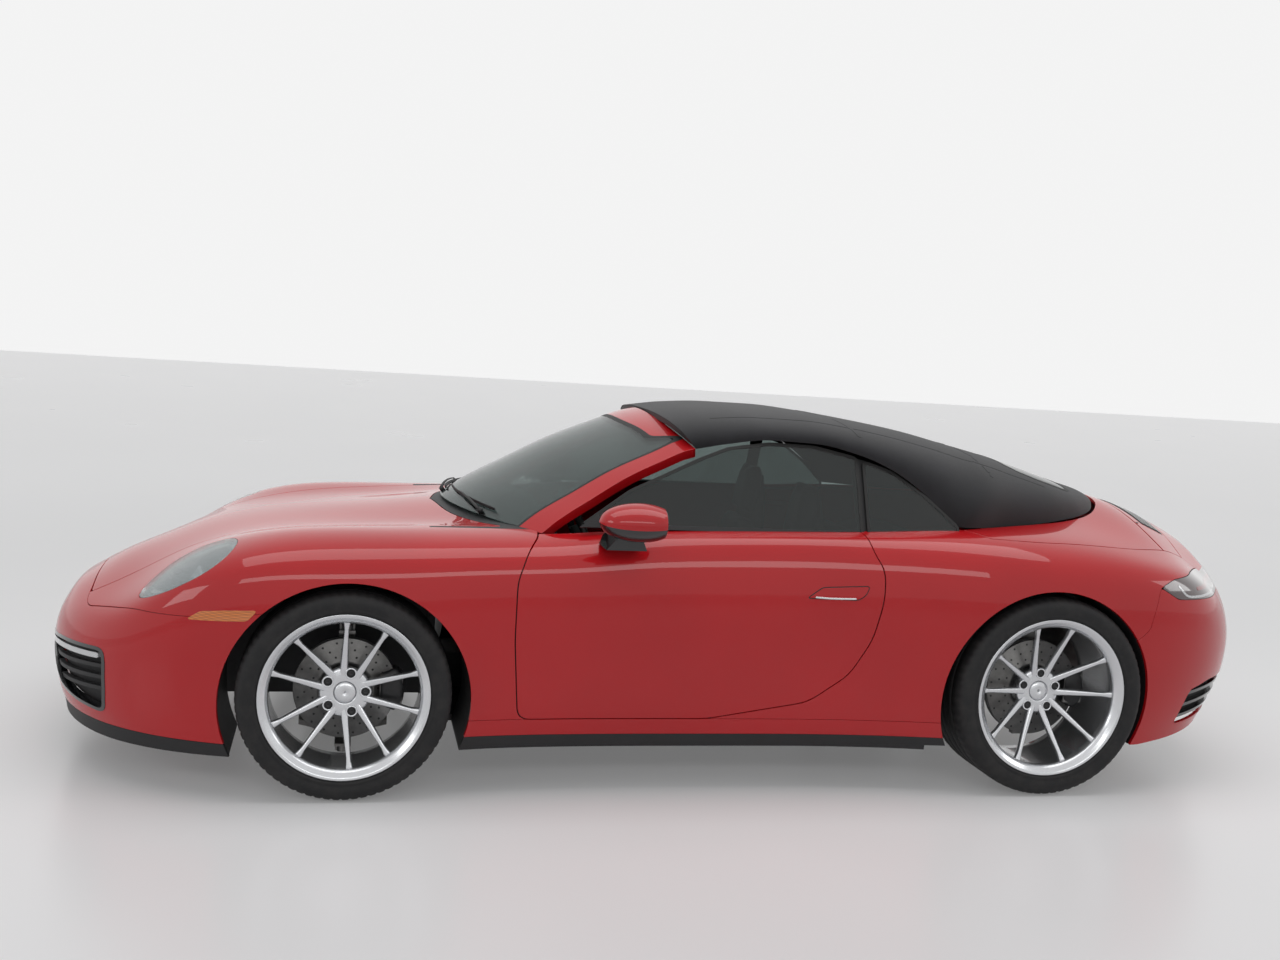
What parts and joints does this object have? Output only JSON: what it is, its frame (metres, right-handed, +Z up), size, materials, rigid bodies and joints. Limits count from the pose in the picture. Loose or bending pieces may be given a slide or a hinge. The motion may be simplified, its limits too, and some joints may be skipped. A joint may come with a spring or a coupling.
{
  "type": "convertible car",
  "caption": "Red rear-engined two-door convertible with its black fabric top closed, opening doors and lids, steered front wheels and slim spoked alloy wheels.",
  "frame": {"origin": "On the ground under the middle of the car's length and width.", "axes": "+X points to the tail, +Y to the passenger's side (the car's right) and +Z up."},
  "size_m": [4.5188, 2.0528, 1.2963],
  "materials": {
    "body_paint": "deep red gloss paint",
    "black_trim": "black unpainted plastic",
    "gloss_black": "black gloss plastic",
    "top_fabric": "black woven top cloth",
    "clear_glass": "clear glass",
    "lamp_glass": "clear lamp cover",
    "tail_glass": "smoked red lamp cover",
    "wheel_silver": "silver painted alloy",
    "tyre_rubber": "black tyre rubber",
    "seat_leather": "black leather",
    "cabin_plastic": "black soft plastic",
    "under_steel": "black coated steel",
    "bare_iron": "bare cast iron",
    "bright_steel": "bright steel"
  },
  "bodies": {
    "body": {"centre_console": "cabin_plastic", "cowl": "black_trim", "dashboard": "cabin_plastic", "door_posts": "body_paint", "engine": "bare_iron", "exhaust": "bright_steel", "fender_left": "body_paint", "fender_right": "body_paint", "firewall": "under_steel", "floor_pan": "under_steel", "front_arms": "bare_iron", "front_bumper": "body_paint", "front_frame": "under_steel", "front_lip": "black_trim", "front_tub": "under_steel", "headlamps": "lamp_glass", "inner_sills": "under_steel", "quarter_glass": "clear_glass", "rear_bulkhead": "under_steel", "rear_bumper": "body_paint", "rear_frame": "under_steel", "rear_hub_carriers": "bare_iron", "rear_links": "bare_iron", "rear_quarter_left": "body_paint", "rear_quarter_right": "body_paint", "rear_seats": "seat_leather", "rear_window": "clear_glass", "seat_left": "seat_leather", "seat_right": "seat_leather", "sills": "body_paint", "soft_top": "top_fabric", "spoiler": "body_paint", "steering_column": "cabin_plastic", "tail_lamp": "tail_glass", "tonneau_panel": "body_paint", "wheel_liners": "black_trim", "windscreen": "clear_glass", "windscreen_frame": "body_paint"},
    "door_left": {"door_left": "body_paint", "door_glass_left": "clear_glass", "mirror_foot_left": "gloss_black"},
    "door_right": {"door_right": "body_paint", "door_glass_right": "clear_glass", "mirror_foot_right": "gloss_black"},
    "mirror_left": {"mirror_left": "body_paint"},
    "mirror_right": {"mirror_right": "body_paint"},
    "front_lid": {"front_lid": "body_paint"},
    "engine_lid": {"engine_lid": "body_paint"},
    "steering_wheel": {"steering_wheel": "seat_leather"},
    "knuckle_left": {"knuckle_left": "bare_iron"},
    "knuckle_right": {"knuckle_right": "bare_iron"},
    "wheel_front_left": {"wheel_front_left": "wheel_silver", "tyre_front_left": "tyre_rubber"},
    "wheel_front_right": {"wheel_front_right": "wheel_silver", "tyre_front_right": "tyre_rubber"},
    "wheel_rear_left": {"wheel_rear_left": "wheel_silver", "tyre_rear_left": "tyre_rubber"},
    "wheel_rear_right": {"wheel_rear_right": "wheel_silver", "tyre_rear_right": "tyre_rubber"}
  },
  "joints": [
    {"name": "steer_left", "type": "hinge", "parent": "body", "child": "knuckle_left", "pos_m": [-1.2525, -0.762, 0.3398], "axis": [0, 0, 1], "range_deg": [-35, 35]},
    {"name": "steer_right", "type": "hinge", "parent": "body", "child": "knuckle_right", "pos_m": [-1.2525, 0.762, 0.3398], "axis": [0, 0, 1], "range_deg": [-35, 35]},
    {"name": "steering_wheel_turn", "type": "hinge", "parent": "body", "child": "steering_wheel", "pos_m": [-0.4325, -0.355, 0.8], "axis": [-0.9135, 0, -0.4067], "range_deg": [-490, 490]},
    {"name": "wheel_front_left_spin", "type": "hinge", "parent": "knuckle_left", "child": "wheel_front_left", "pos_m": [-1.2525, -0.782, 0.3398], "axis": [0, 1, 0], "continuous": true},
    {"name": "wheel_front_right_spin", "type": "hinge", "parent": "knuckle_right", "child": "wheel_front_right", "pos_m": [-1.2525, 0.782, 0.3398], "axis": [0, 1, 0], "continuous": true},
    {"name": "wheel_rear_left_spin", "type": "hinge", "parent": "body", "child": "wheel_rear_left", "pos_m": [1.1975, -0.768, 0.358], "axis": [0, 1, 0], "continuous": true},
    {"name": "wheel_rear_right_spin", "type": "hinge", "parent": "body", "child": "wheel_rear_right", "pos_m": [1.1975, 0.768, 0.358], "axis": [0, 1, 0], "continuous": true},
    {"name": "door_left_hinge", "type": "hinge", "parent": "body", "child": "door_left", "pos_m": [-0.63852, -0.8577, 0], "axis": [0, 0, -1], "range_deg": [0, 65]},
    {"name": "door_right_hinge", "type": "hinge", "parent": "body", "child": "door_right", "pos_m": [-0.63852, 0.8577, 0], "axis": [0, 0, 1], "range_deg": [0, 65]},
    {"name": "front_lid_hinge", "type": "hinge", "parent": "body", "child": "front_lid", "pos_m": [-0.71464, 0, 0.8455], "axis": [0, 1, 0], "range_deg": [0, 60]},
    {"name": "engine_lid_hinge", "type": "hinge", "parent": "body", "child": "engine_lid", "pos_m": [1.69914, 0, 0.92476], "axis": [0, -1, 0], "range_deg": [0, 55]},
    {"name": "mirror_left_fold", "type": "hinge", "parent": "door_left", "child": "mirror_left", "pos_m": [-0.39315, -0.91211, 0.87937], "axis": [0, 0, -1], "range_deg": [0, 60]},
    {"name": "mirror_right_fold", "type": "hinge", "parent": "door_right", "child": "mirror_right", "pos_m": [-0.39315, 0.91211, 0.87937], "axis": [0, 0, 1], "range_deg": [0, 60]}
  ],
  "couplings": [
    {"joint": "steer_right", "follows": "steer_left", "ratio": 1},
    {"joint": "steering_wheel_turn", "follows": "steer_left", "ratio": 14}
  ]
}
